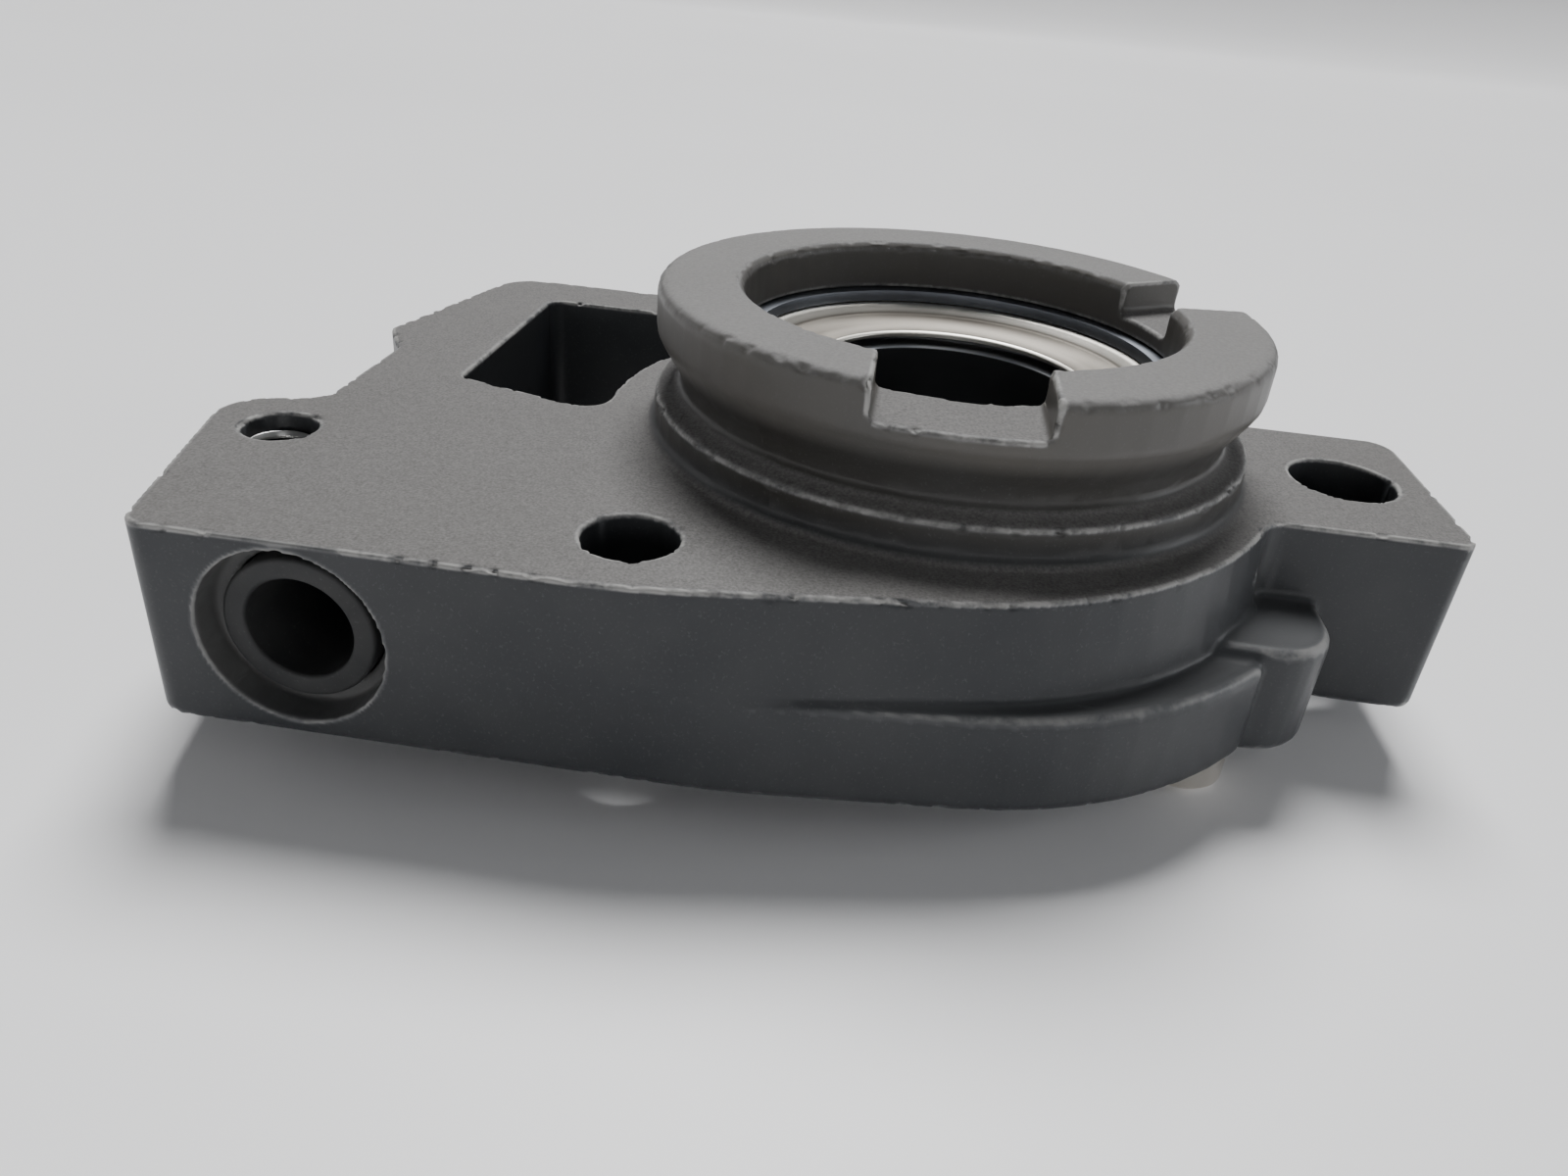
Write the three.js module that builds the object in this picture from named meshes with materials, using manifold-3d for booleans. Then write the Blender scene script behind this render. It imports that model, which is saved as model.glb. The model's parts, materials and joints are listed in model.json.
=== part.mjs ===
// Flange mount bearing: a flat cast flange with a raised hub. The hub holds a deep groove ball
// bearing under a pressed steel grease shield and an internal retaining ring.
//
// Units are millimetres and +Z is up, along the hub axis. Every piece is made with the hub axis at
// X = Y = 0 and the flange's mating face at Z = 0. The finished group is then moved so that its
// origin is the centre of its footprint, at the height of the lowest piece.
import * as THREE from 'three';
import { mergeVertices, toCreasedNormals } from 'three/addons/utils/BufferGeometryUtils.js';
import Module from 'manifold-3d';

const wasm = await Module();
wasm.setup();

// ---- driving dimensions -------------------------------------------------------------------

const FLANGE_THICKNESS = 23.8;
const FLANGE_FRONT = -52.3;
const FLANGE_BACK = 50;
const FLANGE_BOTTOM_EDGE = 1.2;
const LIP_HEIGHT = 12.6;
const LIP_RADIUS = 49.7;
const EAR_END = 63.5;
const EAR_HALF_WIDTH = 16.8;
const FLANK_RADIUS = 51;
const FLANK_DRAFT = 1.5;
const LUG_HEIGHT = 14;
const LUG_FRONT = -30.5;
const LUG_END = 47.5;

const HUB_TOP = 42.1;
const HUB_RADIUS = 38.2;
const HUB_EDGE = 1.3;
const RIM_DEPTH = 5.5;
const NECK_RADIUS = 34.9;
const NECK_DEPTH = 12.4;
const LEDGE_DEPTH = 13.9;
const HUB_FOOT = 1.2;
const NOTCH_DEPTH = 4.2;
const FRONT_NOTCH_WIDTH = 18.3;
const SIDE_NOTCH_FROM = 12.2;
const SIDE_NOTCH_TO = 35.2;

const BORE_RADIUS = 27.5;
const BORE_CHAMFER = 0.9;
const SHOULDER_DEPTH = 23.15;
const SHAFT_BORE_RADIUS = 24;
const GROOVE_DEPTH = 6.5;
const GROOVE_WIDTH = 1.7;
const GROOVE_RADIUS = 28.9;

const BEARING_BORE_RADIUS = 17.5;
const BEARING_OUTER_RADIUS = 27.35;
const BEARING_WIDTH = 10;
const BEARING_DEPTH = 13;
const INNER_RACE_RISE = 0.9;
const RACE_CHAMFER = 0.6;
const INNER_LAND_RADIUS = 20.6;
const OUTER_LAND_RADIUS = 24.4;
const PITCH_RADIUS = 22.5;
const BALL_RADIUS = 3.05;
const RACE_GROOVE_RADIUS = 3.25;
const BALL_COUNT = 14;
const CAGE_INNER_RADIUS = 21.6;
const CAGE_OUTER_RADIUS = 23.4;
const CAGE_FROM = -1.6;
const CAGE_TO = 4.2;
const POCKET_RADIUS = 3.25;

const BOLT_HOLE = { x: -32.1, y: -41.5, radius: 5.25 };
const EAR_HOLE = { x: 52.5, y: 0, radius: 6.75 };
const TAPPED_HOLE = { x: -79.2, y: -25, radius: 4.4, depth: 20 };
const PORT = { x: -65.2, z: 12.4, seatRadius: 10.2, seatDepth: 4, boreRadius: 8.5, depth: 28 };
const GALLERY_DEPTH = 35;
const OIL_HOLE = { angle: -28.3, z: 18.1, radius: 0.75, from: 30, to: 50 };
const DOWELS = [
  { name: 'dowel_front', x: 33.7, y: -27.2 },
  { name: 'dowel_rear', x: -74.5, y: 16 },
];
const BUSH_BORE_RADIUS = 5.85;
const BUSH_INSET = 2;
const INSERT_INSET = 1.2;
const INSERT_RUNOUT = 4;
const THREAD_PITCH = 1.5;
const THREAD_ROOT_RADIUS = 3.9;
const THREAD_CREST_RADIUS = 3.35;
const RING_INNER_RADIUS = 25.9;
const RING_GAP_ANGLE = -140;
const RING_HALF_GAP = 5;
const RING_LUG_ANGLE = 10.5;
const RING_LUG_RADIUS = 25.4;
const DOWEL_RADIUS = 5;
const DOWEL_REACH = 5.9;
const DOWEL_SEAT = 9;
const DOWEL_CHAMFER = 0.8;

const GAP = 0.15;
const ROUND_SEGMENTS = 60;
const FINE_SEGMENTS = 44;
const OUTLINE_TOLERANCE = 0.06;

// ---- materials ----------------------------------------------------------------------------

const metal = (color, roughness, metalness) =>
  new THREE.MeshStandardMaterial({ color, roughness, metalness });

const CAST_IRON = metal(0x3b3c3d, 0.75, 0.35);
const DARK_BUSH = metal(0x35363a, 0.6, 0.5);
const INSERT_STEEL = metal(0xaeb2b4, 0.35, 0.95);
const DOWEL_STEEL = metal(0xc2bfb8, 0.3, 1);
const SPRING_STEEL = metal(0x56585c, 0.4, 0.9);
const SHIELD_STEEL = metal(0xb9b6ae, 0.28, 1);
const BEARING_STEEL = metal(0x8f9296, 0.25, 1);
const BALL_STEEL = metal(0xd8dadc, 0.12, 1);
const CAGE_POLYMER = metal(0x2d4a34, 0.55, 0);

// ---- helpers: outlines ----------------------------------------------------------------------

const radians = THREE.MathUtils.degToRad;
const depth = (distance) => HUB_TOP - distance;
const polar = (radius, degrees) =>
  new THREE.Vector2(radius * Math.cos(radians(degrees)), radius * Math.sin(radians(degrees)));

// An outline from its corners, [x, y, radius], each rounded to its radius by a tangent arc.
function roundedOutline(corners) {
  const points = [];
  corners.forEach(([x, y, radius = 0], i) => {
    const corner = new THREE.Vector2(x, y);
    if (radius === 0) {
      points.push(corner);
      return;
    }
    const before = corners.at(i - 1);
    const after = corners[(i + 1) % corners.length];
    const incoming = new THREE.Vector2(x - before[0], y - before[1]).normalize();
    const outgoing = new THREE.Vector2(after[0] - x, after[1] - y).normalize();
    const turn = Math.atan2(incoming.cross(outgoing), incoming.dot(outgoing));
    const tangent = radius * Math.tan(Math.abs(turn) / 2);
    const start = corner.clone().addScaledVector(incoming, -tangent);
    const side = Math.sign(turn) * radius;
    const centre = start.clone().add(new THREE.Vector2(-incoming.y * side, incoming.x * side));
    const stepTurn = 2 * Math.acos(1 - Math.min(OUTLINE_TOLERANCE / radius, 0.2));
    const steps = Math.max(2, Math.ceil(Math.abs(turn) / stepTurn));
    for (let step = 0; step <= steps; step += 1) {
      points.push(start.clone().rotateAround(centre, (turn * step) / steps));
    }
  });
  return points;
}

function circle(x, y, radius, segments) {
  const centre = new THREE.Vector2(x, y);
  return Array.from({ length: segments }, (_, i) => polar(radius, (360 * i) / segments).add(centre));
}

// ---- helpers: solids ------------------------------------------------------------------------

// A closed manifold solid from a three.js geometry, with its faces pointing out.
function solid(geometry) {
  const bare = geometry.clone();
  bare.deleteAttribute('normal');
  bare.deleteAttribute('uv');
  const merged = mergeVertices(bare, 1e-4);
  const corners = merged.index.array;
  const triangles = [];
  for (let i = 0; i < corners.length; i += 3) {
    const [a, b, c] = corners.slice(i, i + 3);
    if (a !== b && b !== c && c !== a) triangles.push(a, b, c);
  }
  const make = (triVerts) => new wasm.Manifold(new wasm.Mesh({
    numProp: 3,
    vertProperties: Float32Array.from(merged.attributes.position.array),
    triVerts: Uint32Array.from(triVerts),
  }));
  const made = make(triangles);
  return made.volume() > 0 ? made : make(triangles.reverse());
}

// A prism of an outline between two heights. A bevel rounds both of its rims inward.
function prism(outline, from, to, bevel = 0) {
  const geometry = new THREE.ExtrudeGeometry(new THREE.Shape(outline), {
    depth: to - from - 2 * bevel,
    bevelEnabled: bevel > 0,
    bevelThickness: bevel,
    bevelSize: bevel,
    bevelOffset: -bevel,
    bevelSegments: 2,
  });
  return solid(geometry.translate(0, 0, from + bevel));
}

// A solid as wide as its outline at the middle height, drafted inward to both ends.
function drafted(outline, middle, reach, draft) {
  const geometry = new THREE.ExtrudeGeometry(new THREE.Shape(outline), {
    depth: 0.5,
    bevelThickness: reach,
    bevelSize: draft,
    bevelOffset: -draft,
    bevelSegments: 1,
  });
  return solid(geometry.translate(0, 0, middle - 0.5));
}

// A solid of revolution about Z from a closed profile of [radius, z] points.
function revolve(profile, segments = ROUND_SEGMENTS) {
  const points = [...profile, profile[0]].map(([radius, z]) => new THREE.Vector2(radius, z));
  return solid(new THREE.LatheGeometry(points, segments).rotateX(Math.PI / 2));
}

const cylinder = (x, y, radius, from, to, segments) => prism(circle(x, y, radius, segments), from, to);

const box = (from, to) => {
  const size = to.map((value, axis) => value - from[axis]);
  const centre = to.map((value, axis) => (value + from[axis]) / 2);
  return solid(new THREE.BoxGeometry(...size).translate(...centre));
};

// Profile points of a circular arc in the [radius, z] plane, angles in degrees.
const arcProfile = (radius, z, arcRadius, from, to, steps) =>
  Array.from({ length: steps + 1 }, (_, i) => {
    const point = polar(arcRadius, from + ((to - from) * i) / steps);
    return [radius + point.x, z + point.y];
  });

// A named mesh of a manifold solid. Edges sharper than the crease angle stay sharp.
function piece(name, made, material, crease = 30) {
  const { vertProperties, triVerts } = made.getMesh();
  const geometry = new THREE.BufferGeometry();
  geometry.setAttribute('position', new THREE.BufferAttribute(Float32Array.from(vertProperties), 3));
  geometry.setIndex(new THREE.BufferAttribute(Uint32Array.from(triVerts), 1));
  const mesh = new THREE.Mesh(toCreasedNormals(geometry, radians(crease)), material);
  mesh.name = name;
  return mesh;
}

// ---- the casting ----------------------------------------------------------------------------

// The flange's outline above the lip: a straight front, a curved flank round the hub, a square
// ear with the end bolt hole, and an angled tail with a round boss for the tapped hole.
const FLANGE_OUTLINE = roundedOutline([
  [-81.3, FLANGE_FRONT, 2.5],
  [-29.9, FLANGE_FRONT, 60],
  [26.2, -42.2, 50.7],
  [39.4, -EAR_HALF_WIDTH, 4],
  [EAR_END, -EAR_HALF_WIDTH, 2],
  [EAR_END, EAR_HALF_WIDTH, 3.5],
  [39.4, EAR_HALF_WIDTH, 4],
  [26.2, 41.5, 49],
  [-26, FLANGE_BACK, 60],
  [-75.9, FLANGE_BACK, 7],
  [-83.4, 15.2, 2.5],
  [-78.75, 7.2, 4],
  [-78.75, -14.7, 4],
  [-89.9, -18.3, 6],
]);

// The lip, a step that stands out round the lower half of the curved flank.
const LIP_OUTLINE = roundedOutline([
  [-42, -30],
  [-42, FLANGE_FRONT],
  [-19.9, FLANGE_FRONT, 60],
  [24.8, -47.2, LIP_RADIUS],
  [38.3, -31.6, 1.2],
  [39, -27],
  [20, -10],
]);

// The drafted flank above the lip, at its widest, where it meets the lip's top.
const FLANK_OUTLINE = roundedOutline([
  [-42, -30],
  [-42, FLANGE_FRONT],
  [-21.4, FLANGE_FRONT, 60],
  [27.2, -43.5, FLANK_RADIUS],
  [39.2, -20.3, 4],
  [41, -10],
]);

// A round-ended lug that fills the corner between the lip and the ear.
const LUG_OUTLINE = roundedOutline([
  [30, LUG_FRONT],
  [LUG_END, LUG_FRONT, 8],
  [LUG_END, -10],
  [30, -10],
]);

// The opening through the flange. Its long concave side runs concentric with the hub.
const WINDOW_OUTLINE = roundedOutline([
  [-65.9, -1.3, 0.8],
  [-44.25, -7.85, 3.5],
  [-46.47, 23.68, 44.7],
  [-21.9, 39, 0.8],
  [-65.9, 39, 2],
]);

// The hub's outside: a rounded rim, a concave neck, a sharp ledge and a foot on the flange.
const HUB_PROFILE = [
  [0, FLANGE_THICKNESS - 2],
  [HUB_RADIUS, FLANGE_THICKNESS - 2],
  [HUB_RADIUS + HUB_FOOT, FLANGE_THICKNESS],
  [HUB_RADIUS + 0.4 * HUB_FOOT, FLANGE_THICKNESS + 0.4 * HUB_FOOT],
  [HUB_RADIUS, FLANGE_THICKNESS + HUB_FOOT],
  [HUB_RADIUS, depth(LEDGE_DEPTH + 0.3)],
  [HUB_RADIUS - 0.3, depth(LEDGE_DEPTH)],
  [NECK_RADIUS + 0.6, depth(LEDGE_DEPTH - 0.6)],
  [NECK_RADIUS, depth(NECK_DEPTH)],
  [NECK_RADIUS + 0.4, depth(NECK_DEPTH - 1.8)],
  [HUB_RADIUS - 1.1, depth(RIM_DEPTH + 2.2)],
  [HUB_RADIUS - 0.2, depth(RIM_DEPTH + 0.7)],
  [HUB_RADIUS, depth(RIM_DEPTH)],
  ...arcProfile(HUB_RADIUS - HUB_EDGE, depth(HUB_EDGE), HUB_EDGE, 0, 90, 4),
  [0, HUB_TOP],
];

// Everything turned out of the casting along the hub axis: the shaft bore, the bearing bore
// with its shoulder, and the groove for the retaining ring.
const BORE_PROFILE = [
  [0, -1],
  [SHAFT_BORE_RADIUS + 2.5, -1],
  [SHAFT_BORE_RADIUS, 1.5],
  [SHAFT_BORE_RADIUS, depth(SHOULDER_DEPTH)],
  [BORE_RADIUS, depth(SHOULDER_DEPTH)],
  [BORE_RADIUS, depth(GROOVE_DEPTH + GROOVE_WIDTH)],
  [GROOVE_RADIUS, depth(GROOVE_DEPTH + GROOVE_WIDTH)],
  [GROOVE_RADIUS, depth(GROOVE_DEPTH)],
  [BORE_RADIUS, depth(GROOVE_DEPTH)],
  [BORE_RADIUS, depth(BORE_CHAMFER)],
  [BORE_RADIUS + BORE_CHAMFER + 0.1, HUB_TOP + 0.1],
  [0, HUB_TOP + 0.1],
];

// A cylinder whose axis lies level, starting at a point and running along a heading.
function levelCylinder([x, y, z], heading, radius, length, segments = 32) {
  const geometry = new THREE.CylinderGeometry(radius, radius, length, segments);
  geometry.translate(0, length / 2, 0);
  geometry.rotateZ(radians(heading - 90));
  return solid(geometry.translate(x, y, z));
}

// The two notches cut down into the rim: a parallel one in front and a tapered one at the side.
function notches() {
  const half = FRONT_NOTCH_WIDTH / 2;
  const floor = depth(NOTCH_DEPTH);
  const front = box([-half, -HUB_RADIUS - 3, floor], [half, -BORE_RADIUS + 5, HUB_TOP + 1]);
  const inside = BORE_RADIUS - 4;
  const outside = HUB_RADIUS + 4;
  const wedge = [
    polar(inside, SIDE_NOTCH_FROM),
    polar(outside, SIDE_NOTCH_FROM),
    polar(outside, SIDE_NOTCH_TO),
    polar(inside, SIDE_NOTCH_TO),
  ];
  return front.add(prism(wedge, floor, HUB_TOP + 1));
}

// The oil port in the front face: a wide seat, the bush's bore and a blind gallery behind it.
function portCut() {
  const face = (inset) => [PORT.x, FLANGE_FRONT + inset, PORT.z];
  const seat = levelCylinder(face(-1), 90, PORT.seatRadius, PORT.seatDepth + 1);
  const bore = levelCylinder(face(1), 90, PORT.boreRadius, PORT.depth - 1);
  const gallery = levelCylinder(face(1), 90, BUSH_BORE_RADIUS, GALLERY_DEPTH - 1);
  return seat.add(bore).add(gallery);
}

// The narrow oil hole that runs level through the flank towards the hub.
function oilHole() {
  const start = polar(OIL_HOLE.from, OIL_HOLE.angle);
  const reach = OIL_HOLE.to - OIL_HOLE.from;
  return levelCylinder([start.x, start.y, OIL_HOLE.z], OIL_HOLE.angle, OIL_HOLE.radius, reach, 12);
}

function tappedHole({ x, y, radius, depth: reach }) {
  return cylinder(x, y, radius, FLANGE_THICKNESS - reach, FLANGE_THICKNESS + 1, 32);
}

const boltHole = ({ x, y, radius }) => cylinder(x, y, radius, -1, FLANGE_THICKNESS + 1, 32);
const dowelHole = ({ x, y }) => cylinder(x, y, DOWEL_RADIUS + GAP, -1, DOWEL_SEAT + GAP, 32);

// The flange plate. Its lower rim is rounded, and its upper rim is cut off square.
function flangePlate() {
  const top = FLANGE_THICKNESS;
  const plate = prism(FLANGE_OUTLINE, 0, top + 2 * FLANGE_BOTTOM_EDGE, FLANGE_BOTTOM_EDGE);
  return plate.subtract(box([-100, -100, top], [100, 100, top + 20]));
}

function housing() {
  const top = FLANGE_THICKNESS;
  const lip = prism(LIP_OUTLINE, 0, LIP_HEIGHT, FLANGE_BOTTOM_EDGE);
  const flank = drafted(FLANK_OUTLINE, LIP_HEIGHT, top - LIP_HEIGHT - 0.1, FLANK_DRAFT);
  const lug = prism(LUG_OUTLINE, 0, LUG_HEIGHT, 1);
  const body = flangePlate().add(lip).add(flank).add(lug).add(revolve(HUB_PROFILE));
  const cuts = [
    revolve(BORE_PROFILE),
    prism(WINDOW_OUTLINE, -1, top + 1),
    boltHole(BOLT_HOLE),
    boltHole(EAR_HOLE),
    tappedHole(TAPPED_HOLE),
    notches(),
    portCut(),
    oilHole(),
    ...DOWELS.map(dowelHole),
  ];
  return cuts.reduce((left, cut) => left.subtract(cut), body);
}

// ---- pressed and screwed-in pieces ------------------------------------------------------------

// The sleeve pressed into the oil port. Its face stands proud of the seat's floor.
function portBush() {
  const outer = PORT.boreRadius - GAP;
  const length = PORT.depth - 1 - BUSH_INSET;
  const face = PORT.seatDepth - BUSH_INSET;
  const start = [PORT.x, FLANGE_FRONT + face, PORT.z];
  const sleeve = levelCylinder(start, 90, outer, length);
  const bore = levelCylinder([PORT.x, FLANGE_FRONT - 1, PORT.z], 90, BUSH_BORE_RADIUS, GALLERY_DEPTH);
  return sleeve.subtract(bore);
}

// The thread insert: a sleeve whose bore is ridged like the thread it carries.
function threadInsert() {
  const outer = TAPPED_HOLE.radius - GAP;
  const top = FLANGE_THICKNESS - INSERT_INSET;
  const pitches = Math.floor((TAPPED_HOLE.depth - INSERT_INSET - INSERT_RUNOUT) / THREAD_PITCH);
  const bottom = top - pitches * THREAD_PITCH;
  const thread = [];
  for (let turn = 0; turn < pitches; turn += 1) {
    const z = bottom + turn * THREAD_PITCH;
    thread.push([THREAD_ROOT_RADIUS, z], [THREAD_CREST_RADIUS, z + THREAD_PITCH / 2]);
  }
  thread.push([THREAD_ROOT_RADIUS, top]);
  const profile = [[outer, top], [outer, bottom], ...thread];
  const at = new THREE.Matrix4().makeTranslation(TAPPED_HOLE.x, TAPPED_HOLE.y, 0);
  return revolve(profile, 20).transform(at.elements);
}

// A locating dowel: a plain pin with a chamfered nose below the mating face.
function dowel({ x, y }) {
  const profile = [
    [0, -DOWEL_REACH],
    [DOWEL_RADIUS - DOWEL_CHAMFER, -DOWEL_REACH],
    [DOWEL_RADIUS, -DOWEL_REACH + DOWEL_CHAMFER],
    [DOWEL_RADIUS, DOWEL_SEAT],
    [0, DOWEL_SEAT],
  ];
  const at = new THREE.Matrix4().makeTranslation(x, y, 0);
  return revolve(profile, 32).transform(at.elements);
}

// The internal retaining ring: a flat spring ring, open between two lugs with plier holes.
function retainingRing() {
  const from = depth(GROOVE_DEPTH + GROOVE_WIDTH) + 0.1;
  const to = depth(GROOVE_DEPTH) - 0.1;
  const outer = GROOVE_RADIUS - 0.2;
  const ring = cylinder(0, 0, outer, from, to, FINE_SEGMENTS);
  const hollow = cylinder(0, 0, RING_INNER_RADIUS, from - 1, to + 1, FINE_SEGMENTS);
  let made = ring.subtract(hollow);
  for (const side of [-1, 1]) {
    const at = polar(RING_LUG_RADIUS, RING_GAP_ANGLE + side * RING_LUG_ANGLE);
    made = made.add(cylinder(at.x, at.y, 2.6, from, to, 24));
    made = made.subtract(cylinder(at.x, at.y, 1.1, from - 1, to + 1, 16));
  }
  const opening = [
    new THREE.Vector2(0, 0),
    polar(GROOVE_RADIUS + 3, RING_GAP_ANGLE - RING_HALF_GAP),
    polar(GROOVE_RADIUS + 3, RING_GAP_ANGLE + RING_HALF_GAP),
  ];
  return made.subtract(prism(opening, from - 1, to + 1));
}

// The grease shield: a pressed cup that stands on the outer race and dishes down to the shaft.
const SHIELD_PROFILE = [
  [27.3, depth(12.85)],
  [27.3, depth(8.25)],
  [25.2, depth(8.25)],
  [24.8, depth(8.45)],
  [24.3, depth(9.5)],
  [23.8, depth(9.8)],
  [18.1, depth(10.35)],
  [17.6, depth(10.45)],
  [17.6, depth(10.95)],
  [18.1, depth(11.05)],
  [23.6, depth(10.5)],
  [24.5, depth(10.2)],
  [25.2, depth(9.05)],
  [26.5, depth(9.05)],
  [26.5, depth(12.85)],
];

// ---- the ball bearing -------------------------------------------------------------------------

const BEARING_TOP = depth(BEARING_DEPTH);
const BEARING_MIDDLE = BEARING_TOP - BEARING_WIDTH / 2;
const BEARING_BOTTOM = BEARING_TOP - BEARING_WIDTH;

// A race in section: a chamfered rectangle from its back to its land, with the ball groove
// turned into the land. Heading is the side of the pitch circle the race lies on: -1 or 1.
// Rise is how far the race stands above the bearing's usual width, towards the shield.
function race(back, land, heading, rise = 0) {
  const top = BEARING_TOP + rise;
  const reach = Math.abs(land - PITCH_RADIUS);
  const grooveHalf = THREE.MathUtils.radToDeg(Math.acos(reach / RACE_GROOVE_RADIUS));
  const middle = heading > 0 ? 0 : 180;
  const groove = arcProfile(
    PITCH_RADIUS, BEARING_MIDDLE, RACE_GROOVE_RADIUS,
    middle - heading * grooveHalf, middle + heading * grooveHalf, 5,
  );
  return revolve([
    ...groove,
    [land, top - 0.3],
    [land + heading * 0.3, top],
    [back - heading * RACE_CHAMFER, top],
    [back, top - RACE_CHAMFER],
    [back, BEARING_BOTTOM + RACE_CHAMFER],
    [back - heading * RACE_CHAMFER, BEARING_BOTTOM],
    [land + heading * 0.3, BEARING_BOTTOM],
    [land, BEARING_BOTTOM + 0.3],
  ], FINE_SEGMENTS);
}

const ballCentres = Array.from({ length: BALL_COUNT }, (_, i) => {
  const at = polar(PITCH_RADIUS, (360 * i) / BALL_COUNT);
  return new THREE.Vector3(at.x, at.y, BEARING_MIDDLE);
});

const sphere = (radius, centre, columns, rows) =>
  solid(new THREE.SphereGeometry(radius, columns, rows).translate(...centre));

// The crown cage: one ring with a round pocket for each ball, closed along its upper side.
function cage() {
  const ring = revolve([
    [CAGE_INNER_RADIUS, BEARING_MIDDLE + CAGE_FROM],
    [CAGE_OUTER_RADIUS, BEARING_MIDDLE + CAGE_FROM],
    [CAGE_OUTER_RADIUS, BEARING_MIDDLE + CAGE_TO],
    [CAGE_INNER_RADIUS, BEARING_MIDDLE + CAGE_TO],
  ], FINE_SEGMENTS);
  return ballCentres.reduce((left, centre) => left.subtract(sphere(POCKET_RADIUS, centre, 12, 8)), ring);
}

// ---- assembly ---------------------------------------------------------------------------------

const bearing = new THREE.Group();
bearing.add(
  piece('bearing_outer_race', race(BEARING_OUTER_RADIUS, OUTER_LAND_RADIUS, 1), BEARING_STEEL),
  piece(
    'bearing_inner_race',
    race(BEARING_BORE_RADIUS, INNER_LAND_RADIUS, -1, INNER_RACE_RISE),
    BEARING_STEEL,
  ),
  piece('ball_cage', cage(), CAGE_POLYMER),
);
ballCentres.forEach((centre, i) => {
  const name = `ball_${String(i + 1).padStart(2, '0')}`;
  bearing.add(piece(name, sphere(BALL_RADIUS, centre, 12, 7), BALL_STEEL, 60));
});

const assembly = new THREE.Group();
assembly.add(
  piece('housing', housing(), CAST_IRON),
  piece('port_bush', portBush(), DARK_BUSH),
  piece('thread_insert', threadInsert(), INSERT_STEEL),
  ...DOWELS.map((one) => piece(one.name, dowel(one), DOWEL_STEEL)),
  piece('retaining_ring', retainingRing(), SPRING_STEEL),
  piece('grease_shield', revolve(SHIELD_PROFILE, FINE_SEGMENTS), SHIELD_STEEL),
  bearing,
);

// Move the footprint's centre, at the height of the dowels' ends, to the origin.
const extent = new THREE.Box3().setFromObject(assembly);
const centre = extent.getCenter(new THREE.Vector3());
assembly.position.set(-centre.x, -centre.y, -extent.min.z);

const flangeBearing = new THREE.Group();
flangeBearing.add(assembly);

export default flangeBearing;
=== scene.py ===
# %% [markdown]
# # A flange mount bearing
# The object is a dark iron casting: a flat flange with a raised, notched hub. A ball bearing sits
# in the hub under a bright pressed shield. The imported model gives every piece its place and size,
# so this lesson only has to make each piece look like the real thing.

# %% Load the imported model
import json
import math

import bpy
import numpy as np
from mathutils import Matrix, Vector

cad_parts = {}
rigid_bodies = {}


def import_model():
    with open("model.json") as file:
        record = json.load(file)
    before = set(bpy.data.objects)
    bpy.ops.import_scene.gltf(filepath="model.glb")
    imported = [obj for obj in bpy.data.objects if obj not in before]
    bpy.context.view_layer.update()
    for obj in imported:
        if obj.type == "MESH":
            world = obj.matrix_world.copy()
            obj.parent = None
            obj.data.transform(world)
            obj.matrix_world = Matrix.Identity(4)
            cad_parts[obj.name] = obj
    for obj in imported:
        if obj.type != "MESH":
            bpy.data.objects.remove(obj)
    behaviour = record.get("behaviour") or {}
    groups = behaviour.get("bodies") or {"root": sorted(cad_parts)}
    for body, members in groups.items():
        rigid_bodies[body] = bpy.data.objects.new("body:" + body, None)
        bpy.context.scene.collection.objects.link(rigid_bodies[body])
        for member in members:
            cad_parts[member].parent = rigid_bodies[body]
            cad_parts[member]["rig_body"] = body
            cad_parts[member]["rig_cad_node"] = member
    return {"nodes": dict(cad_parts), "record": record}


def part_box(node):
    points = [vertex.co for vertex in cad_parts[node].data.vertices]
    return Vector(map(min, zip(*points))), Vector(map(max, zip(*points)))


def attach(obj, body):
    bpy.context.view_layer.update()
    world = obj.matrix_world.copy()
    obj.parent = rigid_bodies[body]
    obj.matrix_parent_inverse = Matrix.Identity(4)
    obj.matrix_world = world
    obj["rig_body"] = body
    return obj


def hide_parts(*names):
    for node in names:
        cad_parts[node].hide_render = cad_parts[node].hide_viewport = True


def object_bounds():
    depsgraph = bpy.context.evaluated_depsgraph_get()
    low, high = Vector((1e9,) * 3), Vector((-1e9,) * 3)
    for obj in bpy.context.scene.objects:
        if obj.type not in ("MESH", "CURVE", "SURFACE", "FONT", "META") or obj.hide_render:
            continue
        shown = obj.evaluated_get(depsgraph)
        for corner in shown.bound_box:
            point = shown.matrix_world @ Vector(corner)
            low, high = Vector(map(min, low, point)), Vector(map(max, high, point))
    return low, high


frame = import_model()
cad_low, cad_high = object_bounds()
MM = 0.001

housing_low, housing_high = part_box("housing")
race_low, race_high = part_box("bearing_inner_race")
mounts = {mount["name"]: Vector(mount["pos_m"]) for mount in frame["record"]["mounts"]}

AXIS = Vector(((race_low.x + race_high.x) / 2, (race_low.y + race_high.y) / 2, 0))
HUB_TOP = housing_high.z
PLATE_TOP = mounts["flange_top"].z
MATING = housing_low.z
print("hub axis", tuple(round(v / MM, 2) for v in AXIS), "hub top", round(HUB_TOP / MM, 2))

# %% [markdown]
# ## The camera
# The camera comes first, because every later choice is judged through it. It looks down at the
# front of the flange from close by, so the hub is drawn larger than the tail, and it is tipped a
# little to one side. Its place is given from the centre of the hub's top.

# %% Camera
CAMERA_FROM_HUB = Vector((-6.90, -143.87, 35.94)) * MM
CAMERA_TURN = (60.47, -4.518, 7.425)
SENSOR_WIDTH = 36
LENS = 25.875

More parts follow.
